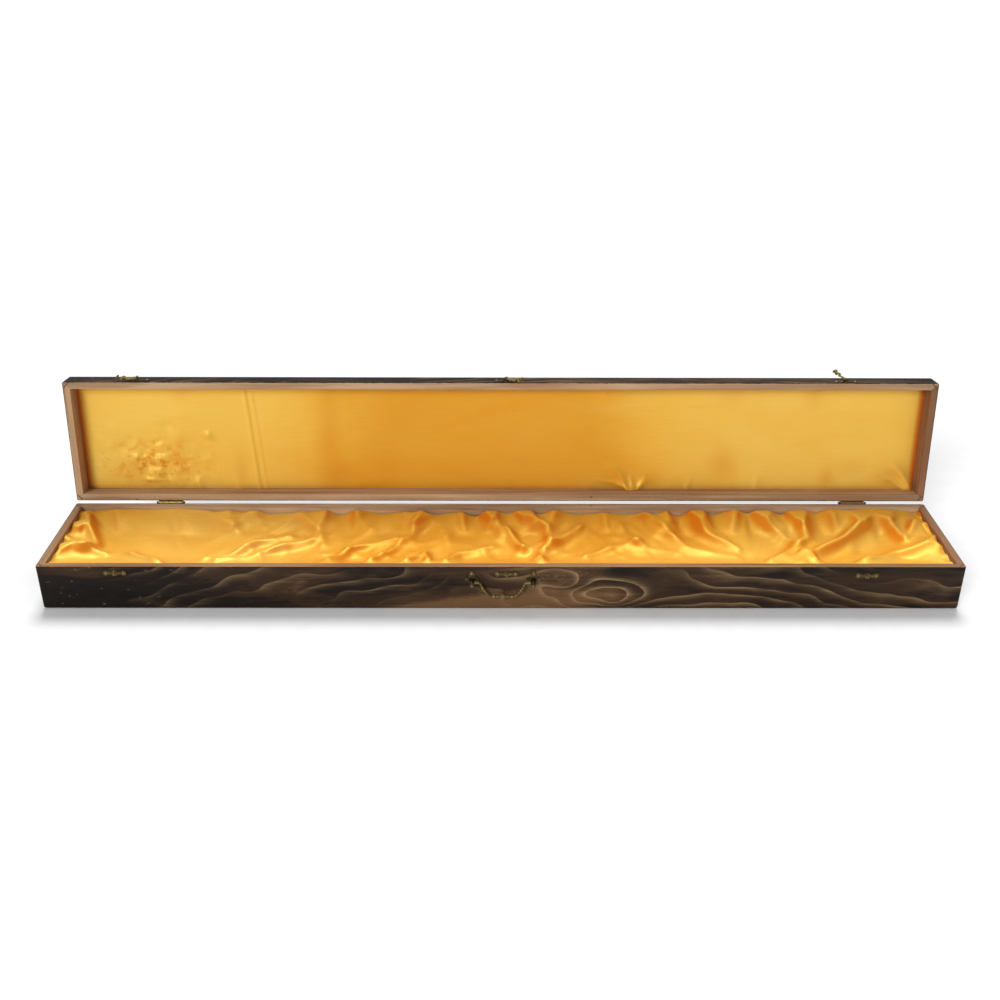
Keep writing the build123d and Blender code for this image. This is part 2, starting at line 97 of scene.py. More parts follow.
class Graph:
    """Small helper for building a node material."""

    def __init__(self, name):
        self.material = bpy.data.materials.new(name)
        self.material.use_nodes = True
        self.tree = self.material.node_tree
        self.tree.nodes.clear()

    def node(self, kind, inputs=None, **settings):
        made = self.tree.nodes.new(kind)
        for key, value in settings.items():
            setattr(made, key, value)
        for key, value in (inputs or {}).items():
            self.feed(made.inputs[key], value)
        return made

    def feed(self, socket, value):
        """Link a socket into another, or set a plain value on it."""
        if isinstance(value, bpy.types.NodeSocket):
            self.tree.links.new(value, socket)
        else:
            socket.default_value = value

    def math(self, operation, a, b=0.0, clamp=False):
        made = self.node("ShaderNodeMath", {0: a, 1: b}, operation=operation, use_clamp=clamp)
        return made.outputs[0]

    def add(self, a, b):
        return self.math("ADD", a, b)

    def times(self, a, b):
        return self.math("MULTIPLY", a, b)

    def object_point(self):
        return self.node("ShaderNodeTexCoord").outputs["Object"]

    def stretch(self, vector, scale, offset=(0, 0, 0)):
        """Point scaled along its axes and shifted, to draw out a pattern."""
        inputs = {"Vector": vector, "Location": offset, "Scale": scale}
        return self.node("ShaderNodeMapping", inputs).outputs[0]

    def split(self, vector):
        return self.node("ShaderNodeSeparateXYZ", {0: vector}).outputs

    def noise(self, vector, scale, detail=3.0, rough=0.55, distort=0.0):
        inputs = {"Vector": vector, "Scale": scale, "Detail": detail}
        inputs.update({"Roughness": rough, "Distortion": distort})
        return self.node("ShaderNodeTexNoise", inputs).outputs["Fac"]

    def ramp(self, value, stops):
        made = self.node("ShaderNodeValToRGB", {0: value})
        band = made.color_ramp
        band.interpolation = "EASE"
        while len(band.elements) < len(stops):
            band.elements.new(0.5)
        for element, (place, colour) in zip(band.elements, stops):
            element.position = place
            element.color = colour
        return made.outputs[0]

    def remap(self, value, low, high, to_low=0.0, to_high=1.0):
        """Smooth step between two values, which may fall as well as rise."""
        inputs = {0: value, 1: low, 2: high, 3: to_low, 4: to_high}
        made = self.node("ShaderNodeMapRange", inputs, interpolation_type="SMOOTHSTEP")
        return made.outputs[0]

    def mix(self, share, a, b, blend="MIX"):
        """Blend two colours."""
        made = self.node("ShaderNodeMix", data_type="RGBA", blend_type=blend)
        self.feed(made.inputs[0], share)
        self.feed(made.inputs[6], a)
        self.feed(made.inputs[7], b)
        return made.outputs[2]

    def mix_value(self, share, a, b):
        """Blend two plain values."""
        return self.node("ShaderNodeMix", {0: share, 2: a, 3: b}, data_type="FLOAT").outputs[0]

    def bump(self, height, distance, strength=1.0, normal=None):
        made = self.node("ShaderNodeBump", {"Height": height})
        made.inputs["Distance"].default_value = distance
        made.inputs["Strength"].default_value = strength
        if normal is not None:
            self.feed(made.inputs["Normal"], normal)
        return made.outputs[0]

    def round_edges(self, radius):
        made = self.node("ShaderNodeBevel", samples=4)
        made.inputs["Radius"].default_value = radius
        return made.outputs[0]

    def surface(self, **sockets):
        """Close the material with a shader; underscores stand for spaces in names."""
        names = {key.replace("_", " "): value for key, value in sockets.items()}
        shader = self.node("ShaderNodeBsdfPrincipled", names)
        out = self.node("ShaderNodeOutputMaterial")
        self.tree.links.new(shader.outputs[0], out.inputs[0])
        return self.material


def paint(piece, material):
    """One material over a whole piece."""
    piece.data.materials.clear()
    piece.data.materials.append(material)


# ---------------------------------------------------------------- wood

DARK_STOPS = [
    (0.0, rgb("#0c0805")),
    (0.33, rgb("#1a110b")),
    (0.58, rgb("#362416")),
    (1.0, rgb("#715234")),
]
STREAK = rgb("#a88a62")
SPECK = rgb("#93805f")
PALE_STOPS = [
    (0.0, rgb("#84674d")),
    (0.35, rgb("#a98b6c")),
    (0.62, rgb("#c4a786")),
    (1.0, rgb("#dcc5a6")),
]

# Figure of the scorched wood: spacing of growth lines, how sharp their crests are
RING_PERIOD = 0.0215
HAIR_PERIOD = 0.0034
RING_SHARPNESS = 4.2
# Spots on the boards, each a centre and half sizes in X and Z, and what two of them lift
KNOT = ((0.132, 0.022), (0.046, 0.019))
KNOT_RISE = 0.070
HOLLOW = ((0.068, 0.048), (0.034, 0.014))
HOLLOW_DROP = -0.012
FRONT_GLOW = ((-0.03, 0.004), (0.15, 0.024))
LEFT_RIM_GLOW = ((-0.50, 0.056), (0.08, 0.010))
KNOT_GLOW = ((0.12, 0.02), (0.07, 0.03))
WORN_SPOT = ((0.09, 0.045), (0.035, 0.008))


def shut_point(graph, is_lid):
    """Texture point with the lid swung shut, so that both halves share one layout."""
    point = graph.object_point()
    if not is_lid:
        return point
    turned = graph.node("ShaderNodeVectorRotate", rotation_type="X_AXIS")
    graph.feed(turned.inputs["Vector"], point)
    turned.inputs["Center"].default_value = LID_PIVOT
    turned.inputs["Angle"].default_value = LID_ANGLE
    return turned.outputs[0]


def bell(graph, x, y, centre, size):
    """Smooth spot of height one."""
    across = graph.times(graph.add(x, -centre[0]), 1 / size[0])
    along = graph.times(graph.add(y, -centre[1]), 1 / size[1])
    square = graph.add(graph.times(across, across), graph.times(along, along))
    return graph.math("POWER", math.e, graph.times(square, -1.0))


def growth_line(graph, level, period):
    """Growth ring: slow rise to a pale crest, then a sharp edge."""
    turn = graph.math("FRACT", graph.times(level, 1 / period))
    rise = graph.math("POWER", turn, RING_SHARPNESS)
    return graph.times(rise, graph.remap(turn, 1.0, 0.93))


def scorched(graph, point, shift):
    """Colour and relief of scorched, stained outside wood with raised wavy figure."""
    x, y, z = graph.split(point)
    sway = graph.noise(graph.stretch(point, (3.4, 8.0, 10.0), shift), 1.0, 1.0, 0.5, 0.5)
    ripple = graph.noise(graph.stretch(point, (15.0, 26.0, 26.0), shift), 1.0, 1.2, 0.45)
    level = graph.add(z, graph.times(y, 0.55))
    level = graph.add(level, graph.times(graph.add(sway, -0.5), 0.10))
    level = graph.add(level, graph.times(graph.add(ripple, -0.5), 0.046))
    left = graph.math("MAXIMUM", graph.math("SUBTRACT", -0.06, x), 0.0)
    right = graph.math("MAXIMUM", graph.add(x, -0.19), 0.0)
    level = graph.add(level, graph.add(graph.times(left, 0.40), graph.times(right, 0.24)))
    bent_x = graph.add(x, graph.times(graph.add(ripple, -0.5), 0.075))
    bent_z = graph.add(z, graph.times(graph.add(sway, -0.5), 0.030))
    knot = bell(graph, bent_x, bent_z, *KNOT)
    hollow = bell(graph, x, z, *HOLLOW)
    level = graph.add(level, graph.times(knot, KNOT_RISE))
    level = graph.add(level, graph.times(hollow, HOLLOW_DROP))
    rings = growth_line(graph, level, RING_PERIOD)
    hairs = growth_line(graph, level, HAIR_PERIOD)
    patch = graph.noise(graph.stretch(point, (5.0, 14.0, 20.0), shift), 1.0, 3.0)
    patch = graph.add(graph.remap(patch, 0.40, 0.68), graph.times(knot, 0.6))
    fibre = graph.noise(graph.stretch(point, (16.0, 380.0, 380.0), shift), 1.0, 4.0, 0.7)
    smoke = graph.noise(graph.stretch(point, (6.0, 22.0, 28.0), shift), 1.0, 5.0, 0.6, 0.6)
    glow = bell(graph, x, z, *FRONT_GLOW)
    tone = graph.add(graph.times(graph.add(smoke, -0.5), 1.7), graph.times(fibre, 0.22))
    tone = graph.add(tone, 0.45)
    tone = graph.add(tone, graph.times(hairs, 0.10))
    tone = graph.add(tone, graph.times(glow, 0.75))
    tone = graph.add(tone, graph.times(bell(graph, x, z, *LEFT_RIM_GLOW), 0.35))
    tone = graph.add(tone, graph.remap(x, -0.42, 0.30, -0.24, -0.05))
    tone = graph.add(tone, graph.remap(x, 0.26, 0.36, 0.0, -0.12))
    tone = graph.add(tone, graph.times(bell(graph, x, z, *KNOT_GLOW), 0.12))
    dark = graph.ramp(tone, DARK_STOPS)
    worn_line = graph.remap(fibre, 0.3, 0.62, 0.45, 1.0)
    mark = graph.times(rings, graph.times(patch, worn_line))
    mark = graph.times(mark, graph.remap(x, -0.5, 0.1, 0.5, 0.9))
    colour = graph.mix(mark, dark, STREAK)
    specks = graph.noise(graph.stretch(point, (110.0, 240.0, 240.0), shift), 1.0, 3.0, 0.6)
    spot = graph.add(graph.remap(x, -0.30, -0.50), bell(graph, x, z, *WORN_SPOT))
    worn = graph.times(graph.remap(specks, 0.66, 0.73), spot)
    colour = graph.mix(graph.times(worn, 0.7), colour, SPECK)
    relief = graph.add(graph.times(rings, 0.15), graph.times(fibre, 0.6))
    return colour, relief


def bare(graph, point, along_x, tint, shift):
    """Colour and relief of bare pale wood, its grain along the board."""
    scale = (5.0, 150.0, 150.0) if along_x else (150.0, 5.0, 150.0)
    broad = (2.2, 40.0, 40.0) if along_x else (40.0, 2.2, 40.0)
    fibre = graph.noise(graph.stretch(point, scale, shift), 1.0, 5.0, 0.65, 0.3)
    figure = graph.noise(graph.stretch(point, broad, shift), 1.0, 3.0, 0.5, 1.2)
    tone = graph.add(graph.times(fibre, 1.3), graph.times(figure, 1.3))
    colour = graph.ramp(graph.add(tone, -0.78), PALE_STOPS)
    blush = graph.remap(graph.noise(point, 7.0, 2.0), 0.48, 0.7)
    colour = graph.mix(graph.times(blush, 0.3), colour, rgb("#a87c58"))
    knots = graph.node("ShaderNodeTexVoronoi", {"Vector": point, "Scale": 14.0})
    spot = graph.remap(knots.outputs["Distance"], 0.045, 0.02)
    colour = graph.mix(graph.times(spot, 0.6), colour, rgb("#6a4a34"))
    colour = graph.mix(tint[1], colour, rgb(tint[0]), "MULTIPLY")
    return colour, fibre


def board_material(name, is_lid, along_x, tint, shift):
    """Stained outside and bare rim and inside, told apart by place on the board."""
    graph = Graph(name)
    point = shut_point(graph, is_lid)
    x, y, z = graph.split(point)
    outside, relief = scorched(graph, point, shift)
    inside, fibre = bare(graph, point, along_x, tint, shift)
    edge_noise = graph.times(graph.add(graph.noise(point, 160.0, 3.0), -0.5), 0.0012)
    deep_x = graph.add(graph.math("ABSOLUTE", x), -INNER_X[1] - 0.0006)
    deep_y = graph.add(graph.math("ABSOLUTE", y), -INNER_Y[1] - 0.0006)
    inner = graph.math("LESS_THAN", graph.math("MAXIMUM", deep_x, deep_y), 0.0)
    if is_lid:
        low, high = shut_box("lid_front_board")
        height = graph.math("SUBTRACT", low.z + 0.0006, z)
    else:
        height = graph.add(z, -RIM + 0.0006)
    rim = graph.math("GREATER_THAN", graph.add(height, edge_noise), 0.0)
    reach_x = graph.add(graph.math("ABSOLUTE", x), -INNER_X[1] - BOARD + 0.0007)
    reach_y = graph.add(graph.math("ABSOLUTE", y), -INNER_Y[1] - BOARD + 0.0007)
    reach = graph.math("MAXIMUM", reach_x, reach_y)
    clean = graph.math("LESS_THAN", graph.add(reach, edge_noise), 0.0)
    natural = graph.math("MAXIMUM", inner, graph.times(rim, clean))
    colour = graph.mix(natural, outside, inside)
    height = graph.mix_value(natural, relief, fibre)
    normal = graph.bump(height, 0.0005, 0.55, graph.round_edges(0.0007))
    gloss = graph.mix_value(natural, graph.remap(relief, 0.2, 0.9, 0.62, 0.45), 0.72)
    return graph.surface(Base_Color=colour, Roughness=gloss, Normal=normal, Specular_IOR_Level=0.16)


def panel_material(name, is_lid, shift):
    """Thin stained board over the top or under the base."""
    graph = Graph(name)
    point = shut_point(graph, is_lid)
    swapped = graph.split(point)
    flat = graph.node("ShaderNodeCombineXYZ", {0: swapped[0], 1: swapped[2], 2: swapped[1]})
    outside, relief = scorched(graph, flat.outputs[0], shift)
    inside, fibre = bare(graph, point, True, ("#ffffff", 0.0), shift)
    if is_lid:
        low, high = shut_box("lid_top_panel")
        inner = graph.math("LESS_THAN", swapped[2], high.z - 0.002)
    else:
        inner = graph.math("GREATER_THAN", swapped[2], 0.002)
    colour = graph.mix(inner, outside, inside)
    normal = graph.bump(graph.mix_value(inner, relief, fibre), 0.0005, 0.5)
    return graph.surface(Base_Color=colour, Roughness=0.5, Normal=normal, Specular_IOR_Level=0.35)


def dress_wood():
    """Give every board and panel its own cut of the wood."""
    for half, is_lid in (("base", False), ("lid", True)):
        for i, side in enumerate(("front", "back", "left", "right")):
            tints = {
                "front": ("#f4ece2", 0.35),
                "back": ("#ead8c6", 0.4),
                "left": ("#e0c4a8", 0.45),
                "right": ("#ac7850", 0.7),
            }
            if not is_lid:
                tints["front"] = ("#b48c68", 0.65)
                tints["back"] = ("#ffffff", 0.0)
            shift = (1.7 * i + 3.0 * is_lid, 0.9 * i, 2.3 * is_lid + 0.4 * i)
            if side == "front" and not is_lid:
                shift = (0.0, 0.0, 0.0)
            name = f"{half}_{side}_wood"
            made = board_material(name, is_lid, i < 2, tints[side], shift)
            paint(frame["nodes"][f"{half}_{side}_board"], made)
    paint(frame["nodes"]["base_bottom_panel"], panel_material("bottom_wood", False, (4, 1, 2)))
    paint(frame["nodes"]["lid_top_panel"], panel_material("top_wood", True, (7, 3, 1)))


# ---------------------------------------------------------------- metal, card, cloth


def bronze_material(name, rub):
    """Antiqued bronze, nearly black with yellow high spots where it is rubbed."""
    graph = Graph(name)
    point = graph.object_point()
    edge = graph.node("ShaderNodeNewGeometry").outputs["Pointiness"]
    edge = graph.remap(edge, 0.50, 0.60)
    patina = graph.noise(point, 420.0, 4.0, 0.65)
    cloud = graph.noise(point, 160.0, 2.0)
    stops = [(0.25, rgb("#120e09")), (0.6, rgb("#261e14")), (0.9, rgb("#3d321f"))]
    dark = graph.ramp(patina, stops)
    share = graph.add(graph.times(edge, 0.10 + 0.6 * rub), graph.remap(cloud, 0.5, 0.75, 0.0, 0.25))
    clean = graph.remap(patina, 0.3, 0.5, 0.6, 1.0)
    share = graph.math("MULTIPLY", graph.add(share, 0.5 * rub), clean, True)
    colour = graph.mix(share, dark, rgb("#a48b58"))
    rough = graph.remap(patina, 0.3, 0.7, 0.28, 0.5)
    normal = graph.bump(patina, 0.0002, 0.5, graph.round_edges(0.0003))
    return graph.surface(Base_Color=colour, Metallic=0.9, Roughness=rough, Normal=normal)


def wire_material(name, dark, light):
    """Dull steel wire and nails with a little rust."""
    graph = Graph(name)
    point = graph.object_point()
    grime = graph.noise(point, 500.0, 4.0, 0.6)
    colour = graph.ramp(grime, [(0.3, rgb(dark)), (0.65, rgb(light)), (0.9, rgb("#6b4a34"))])
    normal = graph.bump(grime, 0.0001, 0.4)
    rough = graph.remap(grime, 0.3, 0.7, 0.35, 0.6)
    return graph.surface(Base_Color=colour, Metallic=0.8, Roughness=rough, Normal=normal)


def card_material():
    """Grey-brown backing card."""
    graph = Graph("backing_card_paper")
    point = graph.object_point()
    pulp = graph.noise(point, 260.0, 6.0, 0.7)
    colour = graph.ramp(pulp, [(0.2, rgb("#8e7c63")), (0.8, rgb("#b7a68a"))])
    normal = graph.bump(pulp, 0.0002, 0.5)
    return graph.surface(Base_Color=colour, Roughness=0.9, Normal=normal)


def wadding_material():
    """Matted white cotton."""
    graph = Graph("cotton_wadding_fluff")
    point = graph.object_point()
    fluff = graph.noise(point, 180.0, 8.0, 0.75, 0.8)
    colour = graph.ramp(fluff, [(0.2, rgb("#cfc8ba")), (0.8, rgb("#f1ede3"))])
    normal = graph.bump(fluff, 0.0015, 0.8)
    return graph.surface(Base_Color=colour, Roughness=0.95, Normal=normal, Sheen_Weight=0.3)


TWILL_PITCH = 0.0009
# Dimpled patch of the lid satin, where shade is painted into its hollows: centre and half sizes in
# X and Y shut
PITTED = ((-0.458, 0.034), (0.056, 0.026))

# Painted shade spots in the lid satin, for soft shading over undulations: X, Y shut, half sizes,
# strength
LID_PAINTED_SHADE = (
    (0.294, 0.036, 0.017, 0.022, 0.75),
    (0.434, 0.056, 0.010, 0.016, 0.75),
    (0.468, 0.040, 0.022, 0.012, 0.40),
    (0.522, 0.052, 0.020, 0.018, 0.95),
    (0.303, -0.064, 0.022, 0.016, 0.60),
    (0.407, -0.062, 0.012, 0.018, 0.60),
    (-0.228, 0.000, 0.016, 0.120, 0.45),
    (-0.215, 0.050, 0.022, 0.022, 0.50),
    (-0.345, 0.045, 0.009, 0.030, 0.60),
    (-0.415, -0.060, 0.016, 0.010, 0.45),
    (-0.490, 0.045, 0.022, 0.018, 0.50),
    (-0.425, 0.030, 0.012, 0.026, 0.55),
    (0.200, 0.060, 0.012, 0.014, 0.50),
    (0.155, 0.058, 0.020, 0.016, 0.45),
)


def satin_material(name, is_lid):
    """Glossy gold satin with painted shade: yellow where it lies open and a darker orange painted
    shade where it turns away.

    In the lid the turn is seen against the eye, in the base against straight up. Patches, hollows
    and edges carry more painted shade and painted highlight.
    """
    graph = Graph(name)
    point = shut_point(graph, is_lid)
    x, y, z = graph.split(point)
    facing = graph.node("ShaderNodeLayerWeight", {"Blend": 0.5}).outputs["Facing"]
    upward = graph.split(graph.node("ShaderNodeTexCoord").outputs["Normal"])[2]
    drift = graph.noise(graph.stretch(point, (5.0, 9.0, 9.0)), 1.0, 3.0, 0.5, 0.5)
    if is_lid:
        shades = ("#efb034", "#f3be46", "#f6cb5c")
    else:
        shades = ("#eca82c", "#f1b43c", "#f5c250")
    bright = graph.ramp(drift, [(0.3 + 0.2 * i, rgb(shade)) for i, shade in enumerate(shades)])
    # Painted shade: darker orange where the satin turns away, standing in for shading and bounced
    # light in folds.
    shade_orange = graph.ramp(drift, [(0.3, rgb("#e0760c")), (0.75, rgb("#e68c1a"))])
    # Share of painted shade: by glancing angle in the lid, by tilt from level in the base.
    turned = graph.remap(facing, 0.30, 0.95) if is_lid else graph.remap(upward, 0.985, 0.72)
    gold = graph.mix(turned, bright, shade_orange)
    if not is_lid:
        # Painted shade: steep flanks of the base satin darker orange.
        upright_shade = graph.remap(upward, 0.45, 0.10)
        gold = graph.mix(graph.times(upright_shade, 0.75), gold, rgb("#d3861e"))
        # Painted highlight: the flat left part of the base satin paler yellow.
        pale = graph.times(graph.remap(x, -0.18, -0.30), graph.remap(x, -0.55, -0.42))
        gold = graph.mix(graph.times(pale, 0.5), gold, rgb("#f9cc62"))
    twill = graph.math("SINE", graph.times(graph.add(x, y), 2 * math.pi / TWILL_PITCH))
    thread = graph.noise(graph.stretch(point, (2500.0, 500.0, 500.0)), 1.0, 2.0)
    weave = graph.add(graph.times(twill, 0.4), thread)
    slub = graph.noise(graph.stretch(point, (30.0, 900.0, 300.0)), 1.0, 2.0)
    gold = graph.mix(graph.remap(slub, 0.4, 0.75, 0.0, 0.16), gold, rgb("#cf7a14"))
    if is_lid:
        # Painted shade: the middle of the lid panel darker orange, standing in for the dimmer
        # reflection there.
        middle = graph.times(graph.remap(x, -0.25, -0.14), graph.remap(x, 0.22, 0.10))
        gold = graph.mix(graph.times(middle, 0.6), gold, rgb("#df961f"))
        # Painted shade spots over soft undulations of the lid panel.
        for cx, cy, rx, ry, share in LID_PAINTED_SHADE:
            spot = bell(graph, x, y, (cx, cy), (rx, ry))
            gold = graph.mix(graph.times(spot, share), gold, rgb("#da8912"))
        # Painted shade: dark orange blotches in the small hollows of the dimpled patch.
        pit_shade = graph.remap(graph.noise(point, 105.0, 2.0, 0.5, 0.4), 0.50, 0.62)
        pitted = bell(graph, x, y, *PITTED)
        # Painted highlight: both outer parts of the lid panel paler yellow, standing in for
        # reflected light.
        end_highlight = graph.add(graph.remap(x, -0.18, -0.34), graph.remap(x, 0.14, 0.28))
        gold = graph.mix(graph.times(end_highlight, 0.5), gold, rgb("#f7ce60"))
        gold = graph.mix(graph.times(graph.times(pit_shade, pitted), 0.75), gold, rgb("#dc8412"))
        # Painted shade along the panel's edges, redder at the side edges, standing in for shading
        # and bounced light where the satin turns in.
        side_edge_shade = graph.remap(graph.math("ABSOLUTE", x), INNER_X[1] - 0.010, INNER_X[1] - 0.001)
        long_edge_shade = graph.remap(graph.math("ABSOLUTE", y), INNER_Y[1] - 0.008, INNER_Y[1])
        gold = graph.mix(graph.times(side_edge_shade, 0.9), gold, rgb("#cc5606"))
        gold = graph.mix(graph.times(long_edge_shade, 0.35), gold, rgb("#d97a14"))
    normal = graph.bump(weave, 0.00008, 0.35)
    sockets = {"Base_Color": gold, "Normal": normal, "Roughness": 0.42, "Metallic": 0.22}
    sockets.update({"Sheen_Weight": 0.15, "Sheen_Roughness": 0.4})
    made = graph.surface(**sockets)
    shader = next(n for n in graph.tree.nodes if n.type == "BSDF_PRINCIPLED")
    shader.inputs["Sheen Tint"].default_value = rgb("#ffd27a")
    shader.inputs["Specular Tint"].default_value = rgb("#ffe9a8")
    return made


BRONZE_WORDS = ("hinge", "latch", "catch", "handle")


def dress_metal():
    """Materials for the carried-over fittings, wire, nails and card."""
    plate = bronze_material("antique_bronze", 0.12)
    worn = bronze_material("worn_bronze", 0.8)
    brass = bronze_material("rubbed_brass", 1.0)
    wire = wire_material("dull_wire", "#2b2724", "#5a534c")
    bright = wire_material("bright_nails", "#6c665e", "#a8a196")
    for name, node in frame["nodes"].items():
        if not any(word in name for word in BRONZE_WORDS):
            continue
        moving = any(word in name for word in ("bail", "lever", "stud", "hinge"))
        paint(node, brass if "nails" in name else worn if moving else plate)
    for name in ("base_corner_staples", "lid_corner_staples"):
        paint(frame["nodes"][name], wire)
    for name in ("lid_corner_brads", "bottom_panel_nails", "top_panel_nails"):
        paint(frame["nodes"][name], bright)
    paint(frame["nodes"]["lid_backing_card"], card_material())


# ---------------------------------------------------------------- mesh tools


def grid_mesh(name, points, columns, rows):
    """Mesh of quads from a table of points, column by column."""
    faces = []
    for i in range(columns - 1):
        for j in range(rows - 1):
            a = i * rows + j
            faces.append((a, a + rows, a + rows + 1, a + 1))
    mesh = bpy.data.meshes.new(name)
    mesh.from_pydata([tuple(p) for p in points], [], faces)
    mesh.polygons.foreach_set("use_smooth", [True] * len(mesh.polygons))
    return mesh


def add_object(name, mesh):
    """Object in the scene for a mesh."""
    made = bpy.data.objects.new(name, mesh)
    bpy.context.scene.collection.objects.link(made)
    return made


def refine(piece, levels):
    """Apply a subdivision to a piece."""
    modifier = piece.modifiers.new("smooth", "SUBSURF")
    modifier.levels = levels
    modifier.render_levels = levels
    bake_modifiers(piece)


def bake_modifiers(piece):
    """Replace a piece's mesh by its evaluated one."""
    graph = bpy.context.evaluated_depsgraph_get()
    graph.update()
    made = bpy.data.meshes.new_from_object(piece.evaluated_get(graph))
    piece.modifiers.clear()
    if piece.data.shape_keys:
        piece.shape_key_clear()
    piece.data = made
    made.polygons.foreach_set("use_smooth", [True] * len(made.polygons))


def coordinates(piece):
    """Vertices of a piece as an array."""
    flat = np.zeros(len(piece.data.vertices) * 3)
    piece.data.vertices.foreach_get("co", flat)
    return flat.reshape(-1, 3)


def smoothstep(value, low, high):
    """Smooth rise from zero to one between two values."""
    t = np.clip((value - low) / (high - low), 0, 1)
    return t * t * (3 - 2 * t)


def ridge(x, y, line, width, fade=0.0):
    """Ridge along a polyline, height one at its crest, less by its fade towards the end."""
    best = np.full(x.shape, 1e9)
    share = np.zeros(x.shape)
    for i, ((ax, ay), (bx, by)) in enumerate(zip(line, line[1:])):
        dx, dy = bx - ax, by - ay
        t = np.clip(((x - ax) * dx + (y - ay) * dy) / (dx * dx + dy * dy), 0, 1)
        reach = np.hypot(x - ax - t * dx, y - ay - t * dy)
        nearer = reach < best
        best = np.where(nearer, reach, best)
        share = np.where(nearer, (i + t) / (len(line) - 1), share)
    return np.exp(-((best / width) ** 1.4)) * (1 - fade * share)


# ---------------------------------------------------------------- wadding

WADDING_CROWN = 0.010


def wadding_pad(name, node, columns, rows, crown):
    """Crowned pad with soft edges inside the box of its node, closed all round."""
    low, high = (shut_box if node.startswith("lid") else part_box)(node)
    rng = np.random.default_rng(SEED + 1)
    u = np.linspace(-1, 1, columns)
    v = np.linspace(-1, 1, rows)
    centre, half = (low + high) / 2, (high - low) / 2
    lump = rng.normal(size=(columns, rows))
    for _ in range(6):
        lump = (lump + np.roll(lump, 1, 0) + np.roll(lump, -1, 0)) / 3
        lump = (lump + np.roll(lump, 1, 1) + np.roll(lump, -1, 1)) / 3
    lump /= np.abs(lump).max()
    points = []
    for side in (1, -1):
        for i in range(columns):
            for j in range(rows):
                fall = max(abs(u[i]) ** 60, abs(v[j]) ** 8)
                thick = half.z * (1 - fall)
                puff = crown * (1 - fall) * (0.7 + 0.3 * lump[i, j]) if side > 0 else 0.0
                spot = (centre.x + u[i] * half.x, centre.y + v[j] * half.y)
                points.append((*spot, centre.z + side * thick + puff))
    top = grid_mesh(name, points[: columns * rows], columns, rows)
    count = columns * rows
    faces = [tuple(p.vertices) for p in top.polygons]
    under = [tuple(count + k for k in reversed(face)) for face in faces]
    mesh = bpy.data.meshes.new(name)
    mesh.from_pydata(points, [], faces + under)
    pad = add_object(name, mesh)
    weld = pad.modifiers.new("weld", "WELD")
    weld.merge_threshold = 0.0002
    bake_modifiers(pad)
    return pad


# ---------------------------------------------------------------- loose satin in the base

LINING_COLUMNS = 289
LINING_ROWS = 39
LINING_GAP = 0.0006
LINING_DROP = 0.0050
LINING_SLACK = (1.035, 1.05, 1.25)
BED_CLEARANCE = 0.002
LINING_LOFT = 0.004
# Folds: scale of the main ones, fade of those that end nearer the middle than FOLD_END
FOLD_RISE = 1.15
FOLD_FADE = 0.3
FOLD_END = 0.045
SCALLOP_RISE = 0.004
PULLED_RISE = 0.0045
PULLED_FOLDS = 20
SIM_FRAMES = 12
# Share of the start shape in the kept shape; the rest is the settled cloth
START_SHARE = 0.6

# Top edge along the back wall: X, drop below the rim
SCALLOPS = (
    (-0.552, 0.008), (-0.530, 0.006), (-0.504, 0.003), (-0.460, 0.004), (-0.421, 0.002),
    (-0.395, 0.004), (-0.376, 0.008), (-0.358, 0.005), (-0.340, 0.008), (-0.323, 0.005),
    (-0.306, 0.010), (-0.257, 0.008), (-0.230, 0.004), (-0.212, 0.013), (-0.190, 0.004),
    (-0.160, 0.010), (-0.125, 0.007), (-0.090, 0.012), (-0.052, 0.007), (-0.032, 0.016),
    (-0.012, 0.005), (0.010, 0.010), (0.029, 0.003), (0.047, 0.013), (0.071, 0.005),
    (0.100, 0.011), (0.135, 0.008), (0.170, 0.011), (0.197, 0.014), (0.217, 0.005),
    (0.232, 0.014), (0.260, 0.003), (0.278, 0.012), (0.308, 0.002), (0.326, 0.013),
    (0.348, 0.003), (0.370, 0.012), (0.393, 0.002), (0.415, 0.009), (0.434, 0.001),
    (0.461, 0.005), (0.476, 0.001), (0.500, 0.002), (0.530, 0.005), (0.552, 0.010),
)

